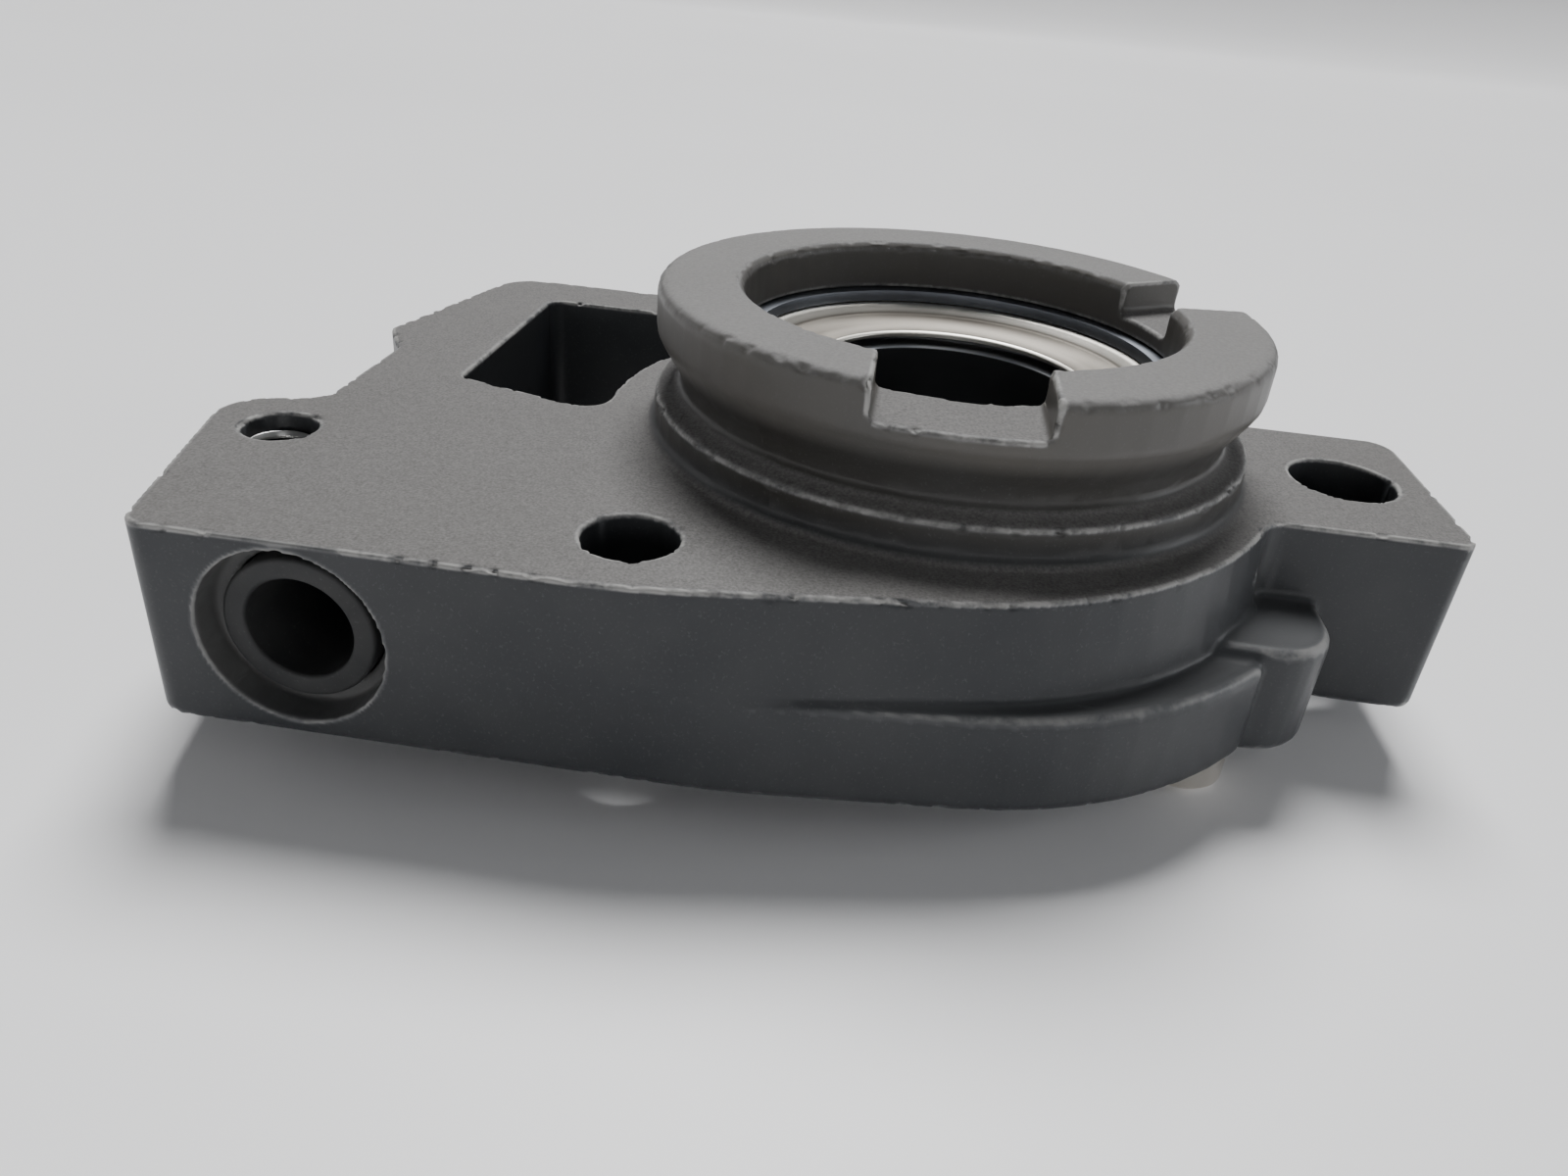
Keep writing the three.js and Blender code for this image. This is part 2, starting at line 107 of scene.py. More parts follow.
bpy.ops.object.camera_add(location=AXIS + Vector((0, 0, HUB_TOP)) + CAMERA_FROM_HUB)
camera = bpy.context.active_object
camera.name = "camera"
camera.rotation_euler = [math.radians(angle) for angle in CAMERA_TURN]
camera.data.sensor_width = SENSOR_WIDTH
camera.data.lens = LENS
camera.data.clip_start = 0.005
bpy.context.scene.camera = camera
print("camera at", tuple(round(v, 4) for v in camera.location))

# %% [markdown]
# ## Helpers for modelling
# An operator works on whatever is selected, so every helper starts by selecting one object alone.
# Turned pieces are all made one way: a ring of points is laid out as the section, its corners are
# rounded with a vertex bevel, and the section is spun round the axis.


# %% Selecting, and applying a modifier
def only(piece):
    """Leave object mode with this piece alone selected and active."""
    if bpy.context.object and bpy.context.object.mode != "OBJECT":
        bpy.ops.object.mode_set(mode="OBJECT")
    bpy.ops.object.select_all(action="DESELECT")
    piece.select_set(True)
    bpy.context.view_layer.objects.active = piece
    return piece


def modify(piece, kind, **settings):
    """Add a modifier with its settings and apply it at once."""
    only(piece)
    modifier = piece.modifiers.new(kind.lower(), kind)
    for name, value in settings.items():
        setattr(modifier, name, value)
    bpy.ops.object.modifier_apply(modifier=modifier.name)
    return piece


def edit(piece, *operators):
    """Run edit mode operators, each given as (operator, settings), on the whole piece."""
    only(piece)
    bpy.ops.object.mode_set(mode="EDIT")
    bpy.ops.mesh.select_all(action="SELECT")
    for operator, settings in operators:
        operator(**settings)
    bpy.ops.object.mode_set(mode="OBJECT")
    return piece


def settle(piece):
    """Put the piece's place and turn into its mesh."""
    only(piece)
    bpy.ops.object.transform_apply(location=True, rotation=True, scale=True)
    return piece


def smooth(piece, angle=35):
    """Shade the piece smooth, except across edges sharper than the angle."""
    only(piece)
    bpy.ops.object.shade_smooth_by_angle(angle=math.radians(angle))
    return piece


def copied(node, name):
    """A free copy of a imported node, with the corners of its loose triangles merged."""
    only(frame["nodes"][node])
    bpy.ops.object.duplicate()
    copy = bpy.context.active_object
    copy.name = name
    copy.parent = None
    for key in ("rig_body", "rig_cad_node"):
        if key in copy:
            del copy[key]
    edit(copy, (bpy.ops.mesh.remove_doubles, {"threshold": 1e-6}))
    return copy


# %% Laying out a section and rounding its corners
def section(name, corners, segments=5):
    """A closed ring of edges through [x, z, radius] corners in millimetres, in the XZ plane."""
    bpy.ops.object.select_all(action="DESELECT")
    bpy.ops.mesh.primitive_circle_add(vertices=len(corners), radius=MM, location=(0, 0, 0))
    ring = bpy.context.active_object
    ring.name = name
    places = [Vector((x * MM, 0, z * MM)) for x, z, *_rounding in corners]
    for vertex, place in zip(ring.data.vertices, places):
        vertex.co = place
    bpy.ops.object.mode_set(mode="EDIT")
    for i, (_x, _z, *radius) in enumerate(corners):
        if not radius:
            continue
        before = (places[i] - places[i - 1]).normalized()
        after = (places[(i + 1) % len(places)] - places[i]).normalized()
        turn = before.angle(after)
        bpy.ops.mesh.select_all(action="DESELECT")
        bpy.ops.object.mode_set(mode="OBJECT")
        nearest = min(ring.data.vertices, key=lambda vertex: (vertex.co - places[i]).length)
        nearest.select = True
        bpy.ops.object.mode_set(mode="EDIT")
        bpy.ops.mesh.select_mode(type="VERT")
        bpy.ops.mesh.bevel(
            affect="VERTICES", offset_type="OFFSET", profile=0.5, segments=segments,
            offset=radius[0] * MM * math.tan(turn / 2),
        )
    bpy.ops.object.mode_set(mode="OBJECT")
    return ring


def turned(name, corners, centre, steps=160, segments=5):
    """A turned piece: a section of [radius, height, rounding] corners, spun upright."""
    piece = section(name, corners, segments)
    edit(
        piece,
        (bpy.ops.mesh.spin, {
            "steps": steps, "angle": 2 * math.pi, "center": (0, 0, 0), "axis": (0, 0, 1),
        }),
    )
    edit(
        piece,
        (bpy.ops.mesh.remove_doubles, {"threshold": 1e-7}),
        (bpy.ops.mesh.normals_make_consistent, {"inside": False}),
    )
    piece.location = centre
    return smooth(settle(piece))


def arc(x, z, radius, start, end, steps):
    """Corners along an arc in the section's plane, with angles in degrees."""
    turn = end - start
    angles = [math.radians(start + turn * step / steps) for step in range(steps + 1)]
    return [(x + radius * math.cos(angle), z + radius * math.sin(angle)) for angle in angles]


# %% [markdown]
# ## Helpers for finishes
# A finish is a small program: noise, masks and mixes worked out at every point of the surface.
# Writing `1 - mask` is easier to read than wiring Math nodes, so one small class lets Python's own
# operators add those nodes.


# %% Shader values as Python expressions
class Value:
    """A number that varies over the surface: one output socket, with Python's operators."""

    def __init__(self, tree, socket):
        self.tree = tree
        self.socket = socket

    def math(self, operation, *others, clamp=False):
        node = self.tree.nodes.new("ShaderNodeMath")
        node.operation = operation
        node.use_clamp = clamp
        for socket, value in zip(node.inputs, (self, *others)):
            connect(self.tree, socket, value)
        return Value(self.tree, node.outputs[0])

    def __add__(self, other):
        return self.math("ADD", other)

    __radd__ = __add__

    def __sub__(self, other):
        return self.math("SUBTRACT", other)

    def __rsub__(self, other):
        return (self * -1) + other

    def __mul__(self, other):
        return self.math("MULTIPLY", other)

    __rmul__ = __mul__

    def __truediv__(self, other):
        return self.math("DIVIDE", other)

    def __pow__(self, other):
        return self.math("POWER", other)

    def between(self, low, high):
        """0 below low, 1 above high, and a straight ramp in between."""
        return ((self - low) / (high - low)).math("MULTIPLY", 1, clamp=True)


def connect(tree, socket, value):
    """Set a socket from a number, a colour or a Value."""
    if isinstance(value, Value):
        tree.links.new(value.socket, socket)
    elif isinstance(value, (tuple, list)) and len(value) == 3 and socket.type == "RGBA":
        socket.default_value = (*value, 1)
    else:
        socket.default_value = value


class Finish:
    """A material under construction, with its own short words for the nodes that are used."""

    def __init__(self, name, **plain):
        self.material = bpy.data.materials.new(name)
        self.material.use_nodes = True
        self.tree = self.material.node_tree
        self.shader = self.tree.nodes["Principled BSDF"]
        for socket, value in plain.items():
            connect(self.tree, self.shader.inputs[socket.replace("_", " ")], value)
        self.place = self.add("ShaderNodeTexCoord", "Object")

    def add(self, kind, output=0, settings=None, **sockets):
        """Add a node: its settings first, then its sockets by name. Gives one output."""
        node = self.tree.nodes.new(kind)
        for name, value in (settings or {}).items():
            setattr(node, name, value)
        for name, value in sockets.items():
            connect(self.tree, node.inputs[name.replace("_", " ")], value)
        return Value(self.tree, node.outputs[output])

    def noise(self, scale, detail=2.0, place=None):
        place = place or self.place
        return self.add("ShaderNodeTexNoise", "Fac", Vector=place, Scale=scale, Detail=detail)

    def part_of(self, vector, output):
        return self.add("ShaderNodeSeparateXYZ", output, Vector=vector)

    def mix(self, mask, low, high):
        """A colour between two others."""
        node = self.tree.nodes.new("ShaderNodeMix")
        node.data_type = "RGBA"
        connect(self.tree, node.inputs[0], mask)
        connect(self.tree, node.inputs[6], low)
        connect(self.tree, node.inputs[7], high)
        return Value(self.tree, node.outputs[2])

    def stretched(self, scale, move=(0, 0, 0)):
        """The place on the piece, moved and then scaled along each axis."""
        return self.add("ShaderNodeMapping", Vector=self.place, Scale=scale, Location=move)

    def bump(self, height, depth, strength=1.0, under=None):
        sockets = {"Height": height, "Distance": depth, "Strength": strength}
        if under is not None:
            sockets["Normal"] = under
        return self.add("ShaderNodeBump", **sockets)

    def surface(self, **sockets):
        for name, value in sockets.items():
            connect(self.tree, self.shader.inputs[name.replace("_", " ")], value)
        return self.material


def clothe(piece, material):
    piece.data.materials.clear()
    piece.data.materials.append(material)
    return piece


# %% [markdown]
# ## The casting's finish
# The casting is iron with a dark phosphate coat. The faces that were milled after casting, which
# are the flange's top and the hub's rim, are paler and grainier than the smooth cast sides. The
# hub's turned rim is a little paler than the cast skin. The bored port is paler too, partly as
# bored metal and partly as painted light that lifts its shade, and the low up-facing shelves are
# painted paler as painted light. Every edge gets a pale painted sheen that stands in for its
# highlight, and the sharpest ones are worn to bare grey iron. An attribute measured on the mesh
# below says where the edges are, for both the wear and the painted sheen.


# %% Casting
bush_low, bush_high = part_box("port_bush")
PORT_MIDDLE = (bush_low + bush_high) / 2
PORT_SEAT = 10.35 * MM
TURNED_RIM = 8 * MM
SHELF = PLATE_TOP - 2.5 * MM
DULL = 0.24


def around(value, middle, half):
    """A soft step from 0 to 1 as the value passes the middle."""
    return value.between(middle - half, middle + half)


def casting_finish():
    finish = Finish("phosphated casting", Metallic=0.0, Specular_IOR_Level=DULL)
    normal = finish.add("ShaderNodeNewGeometry", "Normal")
    height = finish.part_of(finish.place, "Z")
    facing_up = finish.part_of(normal, "Z").between(0.62, 0.90)
    milled = facing_up * around(height, PLATE_TOP - 0.65 * MM, 0.25 * MM)
    wear_and_sheen = finish.add("ShaderNodeAttribute", "Fac", {"attribute_name": "wear_and_sheen"})

    grain = finish.noise(3200, 3.0)
    speckle = finish.noise(1500, 2.0)
    mottle = finish.noise(70, 4.0)
    stain = finish.noise(24, 3.0)
    patches = finish.noise(230, 4.0)

    warm = height.between(PLATE_TOP, PLATE_TOP + 3 * MM)
    cast = finish.mix(warm, (0.030, 0.032, 0.035), (0.036, 0.034, 0.031))
    turned_rim = around(height, HUB_TOP - TURNED_RIM, 1 * MM)
    cast = finish.mix(turned_rim, cast, (0.084, 0.079, 0.072))
    port_x = finish.part_of(finish.place, "X") - PORT_MIDDLE.x
    port_z = height - PORT_MIDDLE.z
    from_port = (port_x * port_x + port_z * port_z) ** 0.5
    behind_port = around(finish.part_of(finish.place, "Y"), PORT_MIDDLE.y + 17.5 * MM, 2.5 * MM)
    # Inside the oil port the colour is paler: partly the bored metal's own colour, partly painted
    # light that lifts the shade in the port.
    bored_and_lit_port = (1 - around(from_port, PORT_SEAT, 0.1 * MM)) * (1 - milled) * (1 - behind_port)
    cast = finish.mix(bored_and_lit_port, cast, (0.105, 0.105, 0.103))
    cast = finish.mix(mottle.between(0.35, 0.7) * 0.35, cast, (0.062, 0.063, 0.064))
    cast = finish.mix(grain.between(0.60, 0.78) * 0.28, cast, (0.13, 0.132, 0.134))
    dust = (grain * 0.7 + speckle * 0.3).between(0.34, 0.66)
    flat = finish.mix(dust, (0.088, 0.085, 0.083), (0.168, 0.164, 0.160))
    rim = around(height, HUB_TOP - 1 * MM, 0.5 * MM)
    flat = finish.mix(rim * 0.45, flat, (0.215, 0.212, 0.207))
    flat = finish.mix(stain.between(0.42, 0.75) * 0.25, flat, (0.112, 0.107, 0.100))
    # Painted light: low up-facing cast faces, such as the lug's and lip's tops, are painted paler
    # to lift the shade that falls on them.
    painted_light_shelf = facing_up * (1 - around(height, SHELF, 0.5 * MM))
    cast = finish.mix(painted_light_shelf * 0.6, cast, (0.075, 0.077, 0.080))
    colour = finish.mix(milled, cast, flat)
    # Painted highlight: a pale sheen along every edge stands in for the light that the rounded
    # edges catch. The rubbed patches below are the edges' real wear.
    colour = finish.mix(wear_and_sheen.between(0.1, 0.6) * 0.3, colour, (0.20, 0.205, 0.21))
    rubbed = wear_and_sheen.between(0.35, 0.85) * (patches + speckle * 0.35).between(0.52, 0.74)
    colour = finish.mix(rubbed * 0.7, colour, (0.36, 0.355, 0.34))

    rough = 0.30 + mottle * 0.16 + milled * 0.3
    pits = finish.bump(grain * 0.6 + speckle * 0.4, 0.035 * MM, 0.5)
    skin = finish.bump(finish.noise(350, 3.0), 0.08 * MM, 0.3, under=pits)
    return finish.surface(Base_Color=colour, Roughness=rough, Normal=skin)


# %% [markdown]
# ## The casting
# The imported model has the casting's true size, but its edges are mathematically sharp. A real
# casting has none: cast corners are round, and milled ones are broken and chipped. Bevelling
# hundreds of edges that meet at odd angles fails somewhere, so a copy of the casting is merged and
# remeshed into fine even cells instead, which the next steps can push about.

# %% Copy and remesh the casting
CELL = 0.36 * MM
casting = copied("housing", "casting")
modify(casting, "REMESH", mode="VOXEL", voxel_size=CELL)
modify(casting, "SMOOTH", factor=0.5, iterations=2)
print("casting cells", len(casting.data.polygons))


# %% Reading a mesh as arrays
def read(collection, attribute, width, kind=float):
    values = np.empty(len(collection) * width, kind)
    collection.foreach_get(attribute, values)
    return values.reshape(-1, width) if width > 1 else values


def sharpness(piece):
    """Where each point is, and how strongly it sticks out, in 1/m and evened out."""
    mesh = piece.data
    places = read(mesh.vertices, "co", 3)
    normals = read(mesh.vertices, "normal", 3)
    ends = read(mesh.edges, "vertices", 2, int)
    step = places[ends[:, 1]] - places[ends[:, 0]]
    squared = (step ** 2).sum(1) + 1e-16
    total = np.zeros(len(places))
    count = np.zeros(len(places))
    for side, sign in ((0, -2.0), (1, 2.0)):
        index = ends[:, side]
        bend = sign * (normals[index] * step).sum(1) / squared
        total += np.bincount(index, bend, len(places))
        count += np.bincount(index, minlength=len(places))
    bend = total / np.maximum(count, 1)
    for _ in range(3):
        around = np.zeros(len(places))
        for side in (0, 1):
            around += np.bincount(ends[:, side], bend[ends[:, 1 - side]], len(places))
        bend = 0.4 * bend + 0.6 * around / np.maximum(count, 1)
    return places, bend


def group(piece, name, weights):
    """A vertex group from an array of weights. Points with no weight are left out."""
    made = piece.vertex_groups.new(name=name)
    for index in np.flatnonzero(weights > 0.02):
        made.add([int(index)], float(min(weights[index], 1)), "REPLACE")
    return made


# %% [markdown]
# ## Round corners where the metal was cast
# The front wall, its lip and the lug keep their cast skin, so their corners are round. Smoothing
# pulls each point towards its neighbours, and a vertex group says how much of that each point
# gets. The milled top, the mating face and the small oil hole are left out, or they would lose
# their shape.

# %% Round the cast corners
CAST_REACH = 38.9
CAST_LEFT = -36
CAST_BACK = -12
MILLED_DEPTH = 2
FACED_HEIGHT = 1.2
OIL_HOLE_ANGLE = math.radians(-28.3)
OIL_HOLE_HEIGHT = 18.1
OIL_HOLE_CLEAR = 1.9

places, bend = sharpness(casting)
from_axis = (places - np.array(AXIS)) / MM
reach = np.hypot(from_axis[:, 0], from_axis[:, 1])
above = (places[:, 2] - MATING) / MM
below_top = (PLATE_TOP - places[:, 2]) / MM
cast_zone = (reach > CAST_REACH) & (from_axis[:, 0] > CAST_LEFT) & (from_axis[:, 1] < CAST_BACK)
ramp = np.clip((below_top - MILLED_DEPTH) / 2, 0, 1) * np.clip((above - FACED_HEIGHT) / 1.5, 0, 1)
across = from_axis[:, 1] * math.cos(OIL_HOLE_ANGLE) - from_axis[:, 0] * math.sin(OIL_HOLE_ANGLE)
oil_hole = np.hypot(across, above - OIL_HOLE_HEIGHT) < OIL_HOLE_CLEAR
group(casting, "cast", cast_zone * ramp * ~oil_hole)
modify(casting, "SMOOTH", factor=0.5, iterations=7, vertex_group="cast")
casting.vertex_groups.clear()

# %% Fill the inner corner of the side notch, where the cutter left a round
NOTCH_ANGLE = math.radians(35.2)
NOTCH_FLOOR = HUB_TOP / MM - 4.2
FILLET = 1.6
along = np.array((math.cos(NOTCH_ANGLE), math.sin(NOTCH_ANGLE), 0))
beside = from_axis - np.outer(from_axis @ along, along)
beside[:, 2] = places[:, 2] / MM - NOTCH_FLOOR
on_rim = (reach > 26.5) & (reach < 40) & (from_axis[:, 0] > 15) & (from_axis[:, 1] > 5)
group(casting, "fillet", np.clip(1.6 - np.linalg.norm(beside, axis=1) / FILLET, 0, 1) * on_rim)
modify(casting, "SMOOTH", factor=0.5, iterations=14, vertex_group="fillet")
casting.vertex_groups.clear()

# %% [markdown]
# ## Chipped edges
# Cast iron is brittle, so a milled edge loses small crumbs when it is knocked. The sharpness of
# each point finds the edges, and a clouded noise pushes some of them inwards. The bore, the port,
# the lug and the side notch are spared, because they are cut or cast clean.

# %% Chip the edges
EDGE_FROM = 260
EDGE_OVER = 420
SHEEN_FROM = 120
SHEEN_OVER = 300
places, bend = sharpness(casting)
edge = np.clip((bend - EDGE_FROM) / EDGE_OVER, 0, 1)
from_axis = (places - np.array(AXIS)) / MM
reach = np.hypot(from_axis[:, 0], from_axis[:, 1])
height = places[:, 2]
in_the_bore = (reach < 30) & (height < HUB_TOP - 5 * MM)
on_the_lug = cast_zone & (height < PLATE_TOP - 2 * MM) & (height > MATING + 1.5 * MM)
from_port = np.hypot(places[:, 0] - PORT_MIDDLE.x, height - PORT_MIDDLE.z) / MM
round_the_port = (from_port < 13) & (places[:, 1] < bush_low.y + 8 * MM)
by_the_notch = (reach > 26) & (from_axis[:, 0] > 15) & (from_axis[:, 1] > 3)
in_the_notch = by_the_notch & (height < HUB_TOP - 1.2 * MM)
spared = in_the_bore | on_the_lug | round_the_port | in_the_notch
group(casting, "chipped", edge * ~spared)
# The lug's and lip's rounded cast edges get a weaker weight, which the finish paints as a pale
# sheen: a painted highlight, not wear.
painted_sheen_edge = np.clip((bend - SHEEN_FROM) / SHEEN_OVER, 0, 1) * on_the_lug * ~oil_hole
group(casting, "edge", np.maximum(edge, 0.6 * painted_sheen_edge) * (1 - 0.4 * round_the_port))
chips = bpy.data.textures.new("chips", "CLOUDS")
chips.noise_scale = 2.2 * MM
chips.noise_depth = 3
chips.contrast = 5
chips.intensity = 0.25
chips.use_clamp = True
modify(
    casting, "DISPLACE", texture=chips, texture_coords="LOCAL", strength=-0.75 * MM, mid_level=0,
    vertex_group="chipped",
)
print("edge points", int((edge > 0.02).sum()), "sharpest", round(float(bend.max())))

# %% [markdown]
# ## A lighter mesh
# The even cells are far more than the flat faces need. Decimating merges the flat ones first, as a
# vertex group says, and leaves the edges fine. The edge weights, which mark both the worn edges and
# the painted sheen, are then kept as an attribute that the finish can read.

# %% Thin the flat faces out, and keep the wear and the painted sheen
FACES = 190000
CURVED = 60
keep = np.clip(bend / CURVED, 0, 1)
group(casting, "flat", 1 - keep)
before = len(casting.data.polygons) * 2
modify(
    casting, "DECIMATE", ratio=min(1, FACES / before), vertex_group="flat", vertex_group_factor=1,
)
edge_index = casting.vertex_groups["edge"].index
wear_and_sheen = np.zeros(len(casting.data.vertices))
for vertex in casting.data.vertices:
    for member in vertex.groups:
        if member.group == edge_index:
            wear_and_sheen[vertex.index] = member.weight
layer = casting.data.attributes.new("wear_and_sheen", "FLOAT", "POINT")
layer.data.foreach_set("value", wear_and_sheen.astype(np.float32))
casting.vertex_groups.clear()
only(casting)
bpy.ops.object.shade_smooth()
clothe(casting, casting_finish())
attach(casting, "housing")
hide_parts("housing")
print("casting triangles", sum(len(face.vertices) - 2 for face in casting.data.polygons))


# %% [markdown]
# ## Steel
# The bearing's pieces are all steel, and what tells them apart is how each was made: ground,
# pressed, drawn or blackened. Turning and grinding leave fine rings about the axis, so the finish
# measures how far each point is from the axis and runs a very stretched noise along that distance.


# %% Steel finishes
class Turning:
    """A finish that knows how far each point is from its piece's own vertical axis."""

    def __init__(self, name, axis=AXIS):
        self.finish = Finish(name, Metallic=1.0)
        centred = self.finish.stretched((1, 1, 1), tuple(-v for v in axis))
        x = self.finish.part_of(centred, "X")
        y = self.finish.part_of(centred, "Y")
        self.height = self.finish.part_of(centred, "Z")
        self.away = (x * x + y * y) ** 0.5
        along = self.finish.add(
            "ShaderNodeCombineXYZ", X=self.away * 9000, Y=self.height * 9000, Z=0.0,
        )
        self.marks = self.finish.noise(1.0, 2.0, along)
        self.patch = self.finish.noise(140, 3.0)

    def done(self, colour, rough, rings):
        lines = self.finish.bump(self.marks, 0.008 * MM, rings)
        roughness = self.patch * 0.12 + self.marks * 0.06 + rough
        return self.finish.surface(Base_Color=colour, Roughness=roughness, Normal=lines)


def steel(name, low, high, rough, axis=AXIS, rings=0.0, stain=(0.25, 0.22, 0.18), stained=0.0):
    """Steel between two tints, with turning marks and faint stains."""
    turning = Turning(name, axis)
    colour = turning.finish.mix(turning.patch.between(0.3, 0.7), low, high)
    if stained:
        blotch = turning.finish.noise(210, 4.0).between(0.55, 0.75) * stained
        colour = turning.finish.mix(blotch, colour, stain)
    return turning.done(colour, rough, rings)


def shield_finish():
    """Satin sheet with a polished outer rim and a polished rolled edge inside."""
    turning = Turning("pressed steel")
    finish = turning.finish
    rim = turning.away.between(24.1 * MM, 24.7 * MM)
    rolled = 1 - turning.away.between(17.9 * MM, 18.3 * MM)
    bright = rim.math("MAXIMUM", rolled)
    patch = turning.patch.between(0.3, 0.7)
    satin = finish.mix(patch, (0.15, 0.139, 0.122), (0.19, 0.176, 0.154))
    smear = finish.noise(60, 3.0).between(0.5, 0.8) * 0.3
    satin = finish.mix(smear, satin, (0.13, 0.12, 0.105))
    colour = finish.mix(bright, satin, (0.90, 0.87, 0.80))
    return turning.done(colour, 0.40 - bright * 0.12, 0.6)


def race_finish():
    """Ground steel, with the bore painted near-black as painted shade."""
    turning = Turning("race steel")
    finish = turning.finish
    # Painted shade: the bore is painted near-black and rougher, standing in for the deep shade
    # inside it.
    bore = 1 - turning.away.between(17.52 * MM, 17.56 * MM)
    ground = finish.mix(turning.patch.between(0.3, 0.7), (0.55, 0.57, 0.60), (0.68, 0.70, 0.72))
    colour = finish.mix(bore, ground, (0.05, 0.052, 0.055))
    return turning.done(colour, 0.30 + bore * 0.3, 0.5)


pressed_steel = shield_finish()
race_steel = race_finish()
spring_steel = steel("spring steel", (0.15, 0.16, 0.18), (0.21, 0.225, 0.25), 0.38, rings=0.4)
ball_steel = steel("ball steel", (0.70, 0.70, 0.70), (0.78, 0.78, 0.78), 0.06)

# %% [markdown]
# ## The grease shield
# The shield is pressed from thin bright sheet. It stands on the outer race, rises to a flat rim,
# drops over a rounded, polished step, and dishes gently down to a rolled inner edge. As a turned
# piece it is one section, closed all round so that the sheet has a real thickness.

# %% Grease shield
shield_low, shield_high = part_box("grease_shield")
SHEET_TOP = shield_high.z / MM
SKIRT_OUTER = 27.3
SKIRT_INNER = 26.5
SHIELD = [
    (SKIRT_OUTER, shield_low.z / MM),
    (SKIRT_OUTER, SHEET_TOP, 0.35),
    (25.4, SHEET_TOP, 1.6),
    (23.9, SHEET_TOP - 1.25, 1.0),
    (20.9, SHEET_TOP - 1.75),
    (20.7, SHEET_TOP - 1.9),
    (18.5, SHEET_TOP - 2.05, 0.5),
    (18.0, SHEET_TOP - 1.95, 0.25),
    (17.6, SHEET_TOP - 2.2, 0.2),
    (17.65, SHEET_TOP - 2.7),
    (18.2, SHEET_TOP - 2.78),
    (23.7, SHEET_TOP - 2.3, 0.6),
    (24.7, SHEET_TOP - 0.8, 0.4),
    (SKIRT_INNER, SHEET_TOP - 0.8, 0.3),
    (SKIRT_INNER, shield_low.z / MM),
]
shield = turned("shield", SHIELD, AXIS, steps=200)
clothe(shield, pressed_steel)
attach(shield, "housing")
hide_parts("grease_shield")
print("shield thickness", round(SKIRT_OUTER - SKIRT_INNER, 2), "mm")

# %% [markdown]
# ## The races
# A race is a ring with a round groove for the balls. The groove is an arc in the section, and the
# corners that meet the shaft and the housing have the larger rounding that every bearing has.


# %% Races
PITCH_RADIUS = 22.5
GROOVE_RADIUS = 3.25


def race(name, node, back, land, heading):
    """A race between its back and its land. Heading 1 is outside the balls, -1 inside."""
    low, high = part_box(node)
    ball_low, ball_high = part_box("ball_01")
    middle = (ball_low.z + ball_high.z) / 2 / MM
    half = heading * math.degrees(math.acos(abs(land - PITCH_RADIUS) / GROOVE_RADIUS))
    turn = 0 if heading > 0 else 180
    corners = [
        *arc(PITCH_RADIUS, middle, GROOVE_RADIUS, turn - half, turn + half, 14),
        (land, high.z / MM, 0.25),
        (back, high.z / MM, 0.7),
        (back, low.z / MM, 0.7),
        (land, low.z / MM, 0.25),
    ]
    piece = turned(name, corners, AXIS, steps=176)
    clothe(piece, race_steel)
    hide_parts(node)
    return piece


outer_race = race("outer_race", "bearing_outer_race", 27.35, 24.4, 1)
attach(outer_race, "housing")
inner_race = race("inner_race", "bearing_inner_race", 17.5, 20.6, -1)
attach(inner_race, "inner_race")
print("races", len(outer_race.data.polygons), len(inner_race.data.polygons))

# %% [markdown]
# ## The balls
# A ball made from a cube whose faces are cut up and pushed out to a sphere has even cells all over.
# The usual globe of rings crowds them at its poles, which shows as a pinch in polished steel.

# %% Balls
BALL_NAMES = sorted(
    name for name in frame["nodes"] if name.startswith("ball_") and name != "ball_cage"
)
for name in BALL_NAMES:
    low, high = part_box(name)
    bpy.ops.object.select_all(action="DESELECT")
    bpy.ops.mesh.primitive_cube_add(size=2 * MM, location=(0, 0, 0))
    ball = bpy.context.active_object
    ball.name = "polished_" + name
    edit(
        ball,
        (bpy.ops.mesh.subdivide, {"number_cuts": 9}),
        (bpy.ops.transform.tosphere, {"value": 1.0}),
    )
    radius = (high.z - low.z) / 2
    size = max(vertex.co.length for vertex in ball.data.vertices)
    ball.scale = (radius / size,) * 3
    ball.location = (low + high) / 2
    only(settle(ball))
    bpy.ops.object.shade_smooth()
    clothe(ball, ball_steel)
    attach(ball, "ball_set")
    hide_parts(name)
print("balls", len(BALL_NAMES))


# %% [markdown]
# ## The cage
# The cage is a moulded ring with a pocket for each ball. The pockets leave thin curved fingers
# that would be slow to model by hand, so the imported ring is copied, remeshed and softened, as the
# casting was, with much smaller cells.


# %% Cage
def cage_finish():
    finish = Finish("cage polymer", Metallic=0.0)
    fibre = finish.noise(1800, 3.0)
    cloud = finish.noise(160, 3.0)
    colour = finish.mix(cloud.between(0.3, 0.7), (0.016, 0.036, 0.024), (0.030, 0.060, 0.040))
    return finish.surface(
        Base_Color=colour, Roughness=0.45 + fibre * 0.2, Normal=finish.bump(fibre, 0.02 * MM, 0.5),
    )


CAGE_CELL = 0.14 * MM
cage = copied("ball_cage", "cage")
modify(cage, "REMESH", mode="VOXEL", voxel_size=CAGE_CELL)
modify(cage, "SMOOTH", factor=0.5, iterations=3)
modify(cage, "DECIMATE", ratio=0.25)
only(cage)
bpy.ops.object.shade_smooth()
clothe(cage, cage_finish())
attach(cage, "ball_set")
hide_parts("ball_cage")
print("cage faces", len(cage.data.polygons))

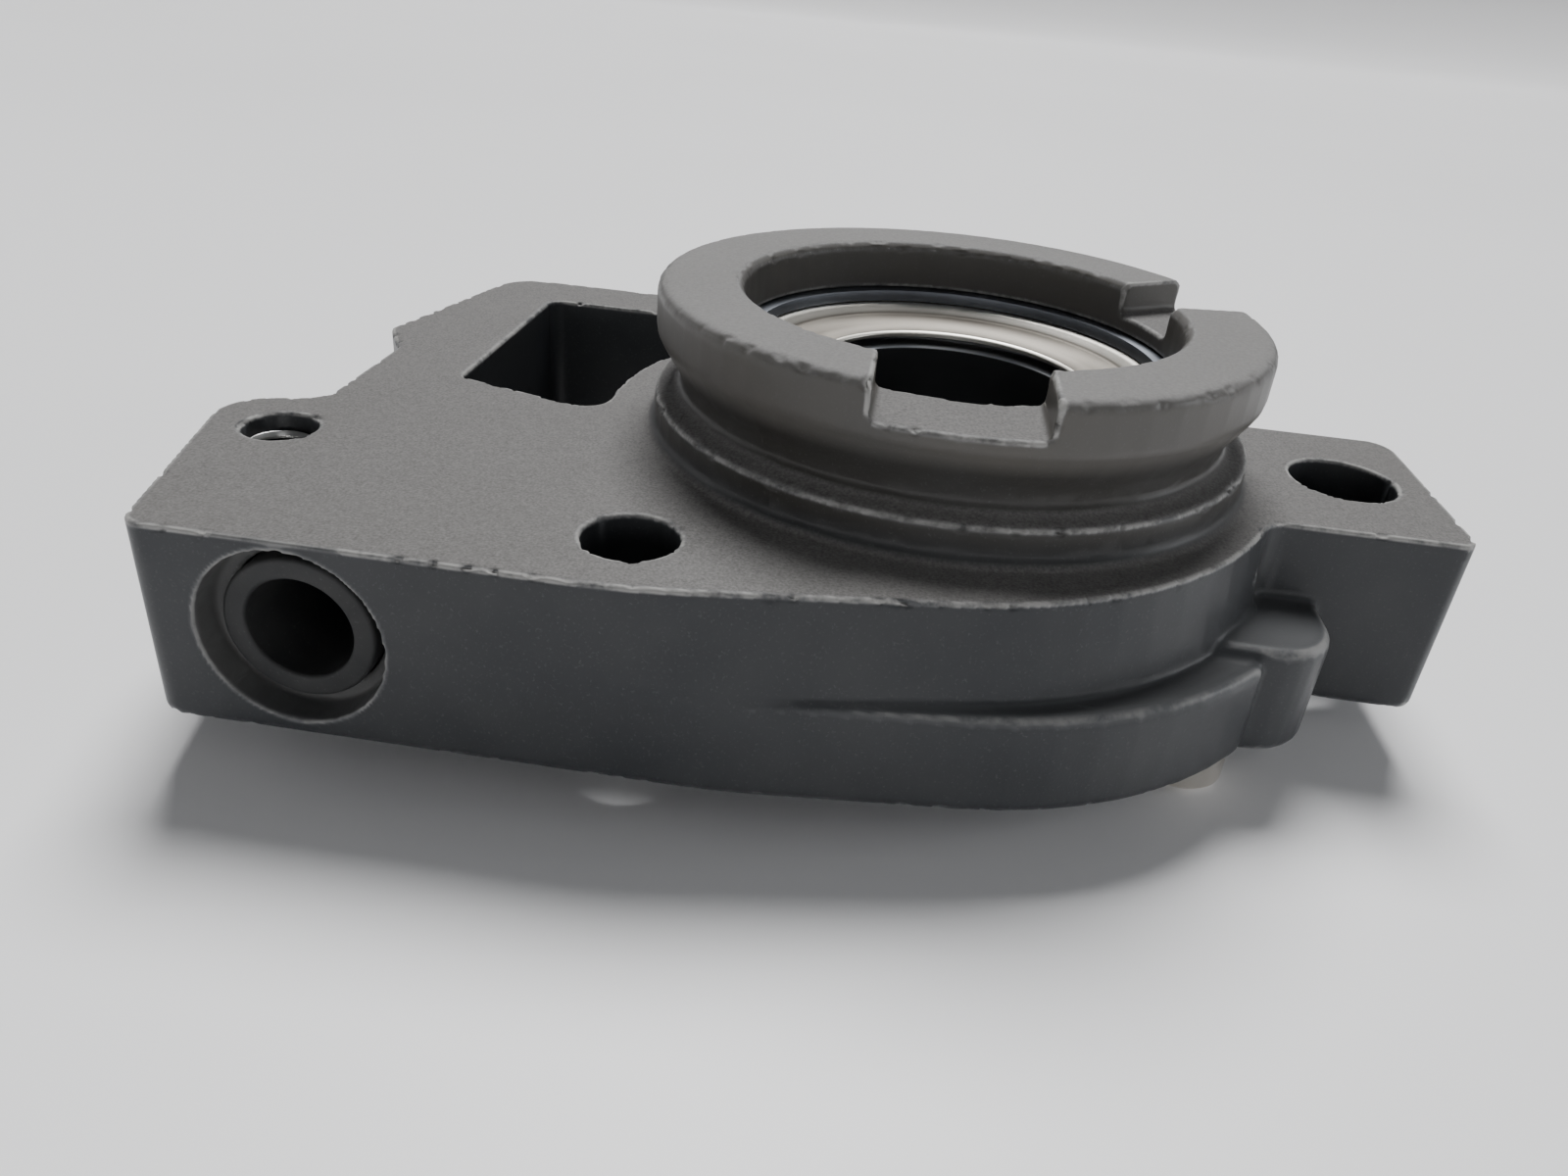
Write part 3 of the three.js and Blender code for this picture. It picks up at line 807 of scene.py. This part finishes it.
# %% [markdown]
# ## The retaining ring
# The ring is flat spring steel, open between two lugs with holes for the pliers. Most of the ring
# is a rectangle spun through less than a full turn. Each lug is a short turned washer that is
# joined to its end.

# %% Retaining ring
ring_low, ring_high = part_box("retaining_ring")
RING_BOTTOM = ring_low.z / MM
RING_TOP = ring_high.z / MM
RING_OUTER = (ring_high.x - ring_low.x) / 2 / MM
RING_INNER = 25.9
RING_GAP = -140
RING_HALF_GAP = 5
LUG_RADIUS = 2.6
LUG_HOLE = 1.1
LUG_TURN = 10.5
LUG_REACH = 25.4

ring = section("snap_ring", [
    (RING_INNER, RING_BOTTOM), (RING_OUTER, RING_BOTTOM),
    (RING_OUTER, RING_TOP), (RING_INNER, RING_TOP),
])
edit(
    ring,
    (bpy.ops.mesh.edge_face_add, {}),
    (bpy.ops.mesh.spin, {
        "steps": 180, "angle": math.radians(360 - 2 * RING_HALF_GAP), "center": (0, 0, 0),
        "axis": (0, 0, 1),
    }),
)
edit(
    ring,
    (bpy.ops.mesh.remove_doubles, {"threshold": 1e-7}),
    (bpy.ops.mesh.normals_make_consistent, {"inside": False}),
)
print("ring faces", len(ring.data.polygons))


# %% Turn the gap to its place, and add the lugs
def disc(name, radius, low, high, place):
    """A short turned cylinder, used to join to a piece or to cut it."""
    return turned(name, [(0, low), (radius, low), (radius, high), (0, high)], place, steps=48)


def combine(piece, tool, operation):
    """Join a piece with a tool, or cut it, and remove the tool."""
    modify(piece, "BOOLEAN", object=tool, operation=operation, solver="EXACT")
    bpy.data.objects.remove(tool)
    return piece


middle = sum((vertex.co for vertex in ring.data.vertices), Vector()) / len(ring.data.vertices)
gap_now = math.atan2(-middle.y, -middle.x)
ring.rotation_euler.z = math.radians(RING_GAP) - gap_now
ring.location = AXIS
settle(ring)
for side in (-1, 1):
    angle = math.radians(RING_GAP + side * LUG_TURN)
    place = AXIS + Vector((math.cos(angle), math.sin(angle), 0)) * LUG_REACH * MM
    combine(ring, disc("lug", LUG_RADIUS, RING_BOTTOM, RING_TOP, place), "UNION")
    drill = disc("lug_hole", LUG_HOLE, RING_BOTTOM - 1, RING_TOP + 1, place)
    combine(ring, drill, "DIFFERENCE")
modify(
    ring, "BEVEL", width=0.14 * MM, segments=2, limit_method="ANGLE", angle_limit=math.radians(40),
)
smooth(ring)
clothe(ring, spring_steel)
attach(ring, "housing")
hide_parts("retaining_ring")
print("ring from", round(RING_BOTTOM, 2), "to", round(RING_TOP, 2), "mm")

# %% [markdown]
# ## The thread insert
# The tail's hole is lined with a wire insert: diamond-shaped wire wound into a spring, whose inner
# edge is the thread. A Screw modifier sweeps the wire's section up and round, exactly as the wire
# is wound, and its two cut ends are then closed.

# %% Thread insert
insert_low, insert_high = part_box("thread_insert")
INSERT_PLACE = Vector(((insert_low.x + insert_high.x) / 2, (insert_low.y + insert_high.y) / 2, 0))
WIRE_PITCH = 1.25
WIRE_OUTER = (insert_high.x - insert_low.x) / 2 / MM
WIRE_INNER = 3.3
WIRE_HALF = 0.58
turns = int((insert_high.z - insert_low.z) / MM / WIRE_PITCH) - 1
start = insert_high.z / MM - (turns + 0.5) * WIRE_PITCH
WIRE_MIDDLE = (WIRE_OUTER + WIRE_INNER) / 2
coil = section("wire_insert", [
    (WIRE_OUTER, start, 0.1),
    (WIRE_MIDDLE, start + WIRE_HALF, 0.12),
    (WIRE_INNER, start, 0.1),
    (WIRE_MIDDLE, start - WIRE_HALF, 0.12),
])
modify(
    coil, "SCREW", axis="Z", angle=2 * math.pi, screw_offset=WIRE_PITCH * MM, iterations=turns,
    steps=44, render_steps=44,
)
edit(
    coil,
    (bpy.ops.mesh.fill_holes, {"sides": 0}),
    (bpy.ops.mesh.normals_make_consistent, {"inside": False}),
)
coil.location = INSERT_PLACE
smooth(settle(coil))
clothe(coil, steel(
    "insert steel", (0.55, 0.55, 0.54), (0.72, 0.72, 0.71), 0.24, axis=INSERT_PLACE, rings=0.2,
))
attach(coil, "housing")
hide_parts("thread_insert")
print("insert turns", turns)

# %% [markdown]
# ## The dowels
# A dowel is ground all over, with a chamfered nose that finds its hole. The small rounding on each
# corner matters: it is what catches the light under the flange.

# %% Dowels
DOWEL_CHAMFER = 0.8
for node in ("dowel_front", "dowel_rear"):
    low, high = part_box(node)
    radius = (high.x - low.x) / 2 / MM
    bottom = low.z / MM
    top = high.z / MM
    corners = [
        (0, bottom),
        (radius - DOWEL_CHAMFER, bottom, 0.25),
        (radius, bottom + DOWEL_CHAMFER, 0.4),
        (radius, top, 0.3),
        (0, top),
    ]
    place = Vector(((low.x + high.x) / 2, (low.y + high.y) / 2, 0))
    pin = turned("pin_" + node, corners, place, steps=72)
    clothe(pin, steel(
        "dowel steel " + node[6:], (0.72, 0.68, 0.62), (0.90, 0.87, 0.81), 0.16, axis=place,
        rings=0.8, stained=0.5,
    ))
    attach(pin, "housing")
    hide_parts(node)
    print(node, "radius", round(radius, 2), "length", round(top - bottom, 2))

# %% [markdown]
# ## The port bush
# The bush is a sleeve pressed into the oil port, and it is blackened like the casting round it. It
# is turned standing up, because the turning helper works about a vertical axis, and then laid down
# along the port.

# %% Port bush
BUSH_RADIUS = (bush_high.x - bush_low.x) / 2 / MM
BUSH_LENGTH = (bush_high.y - bush_low.y) / MM
BUSH_BORE = 5.85
bush = turned("bush", [
    (BUSH_BORE, 0),
    (BUSH_RADIUS, 0, 0.3),
    (BUSH_RADIUS, BUSH_LENGTH, 0.5),
    (BUSH_BORE, BUSH_LENGTH, 0.45),
], (0, 0, 0), steps=96)
bush.rotation_euler.x = math.radians(90)
bush.location = ((bush_low.x + bush_high.x) / 2, bush_high.y, (bush_low.z + bush_high.z) / 2)
settle(bush)


def blackened_finish():
    finish = Finish("blackened steel", Metallic=0.0, Specular_IOR_Level=DULL)
    grain = finish.noise(2200, 3.0)
    mottle = finish.noise(180, 3.0)
    colour = finish.mix(mottle.between(0.3, 0.7), (0.022, 0.023, 0.024), (0.038, 0.038, 0.038))
    colour = finish.mix(grain.between(0.62, 0.8) * 0.35, colour, (0.12, 0.12, 0.12))
    pits = finish.bump(grain, 0.04 * MM, 0.5)
    return finish.surface(Base_Color=colour, Roughness=0.45 + mottle * 0.2, Normal=pits)


clothe(bush, blackened_finish())
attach(bush, "housing")
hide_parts("port_bush")
print("bush", round(BUSH_RADIUS, 2), "x", round(BUSH_LENGTH, 2), "mm")

# %% [markdown]
# ## The stage
# The floor is plain and pale. It runs out flat and then curves up all round into a low wall, so
# that no horizon shows from any side.


# %% Floor
def floor_finish():
    finish = Finish("pale floor", Metallic=0.0)
    cloud = finish.noise(3, 2.0)
    colour = finish.mix(cloud, (0.86, 0.86, 0.87), (0.89, 0.89, 0.90))
    return finish.surface(Base_Color=colour, Roughness=0.42 + cloud * 0.1)


FLOOR = cad_low.z / MM
FLOOR_THICKNESS = 20
WALL = 2600
WALL_HEIGHT = 900
WALL_ROUNDING = 800
floor = turned("floor", [
    (0, FLOOR - FLOOR_THICKNESS),
    (WALL + FLOOR_THICKNESS, FLOOR - FLOOR_THICKNESS),
    (WALL + FLOOR_THICKNESS, FLOOR + WALL_HEIGHT),
    (WALL, FLOOR + WALL_HEIGHT),
    (WALL, FLOOR, WALL_ROUNDING),
    (0, FLOOR),
], (0, 0, 0), steps=96, segments=12)
clothe(floor, floor_finish())


# %% [markdown]
# ## The light
# One broad light high up behind the object makes the top faces bright and the front wall dark, and
# throws a soft shadow towards the camera. Three weak lamps keep the walls from going black, and the
# room adds a little from everywhere.


# %% Light
def area_light(name, place, aim, size, power, tint=(1, 1, 1)):
    bpy.ops.object.light_add(type="AREA", location=place)
    light = bpy.context.active_object
    light.name = name
    light.data.shape = "DISK"
    light.data.size = size
    light.data.energy = power
    light.data.color = tint
    light.rotation_euler = (Vector(aim) - Vector(place)).to_track_quat("-Z", "Y").to_euler()
    return light


bpy.ops.object.light_add(type="SUN", location=(0, 0, 2))
sky = bpy.context.active_object
sky.name = "high soft light"
sky.data.energy = 4.8
sky.data.angle = math.radians(28)
sky.rotation_euler = Vector((-0.03, 0.62, 1)).to_track_quat("Z", "Y").to_euler()
area_light("front", (0.30, -0.60, 0.85), (0, 0, 0.03), 0.45, 0.35)
area_light("left", (-0.9, 0.1, 0.35), (0, 0, 0.02), 0.35, 0.45)
area_light("right", (0.9, 0.05, 0.3), (0, 0, 0.02), 0.35, 1.4, (0.94, 0.97, 1.0))

world = bpy.data.worlds.new("room")
bpy.context.scene.world = world
world.use_nodes = True
world.node_tree.nodes["Background"].inputs["Color"].default_value = (0.95, 0.97, 1.0, 1)
world.node_tree.nodes["Background"].inputs["Strength"].default_value = 0.07
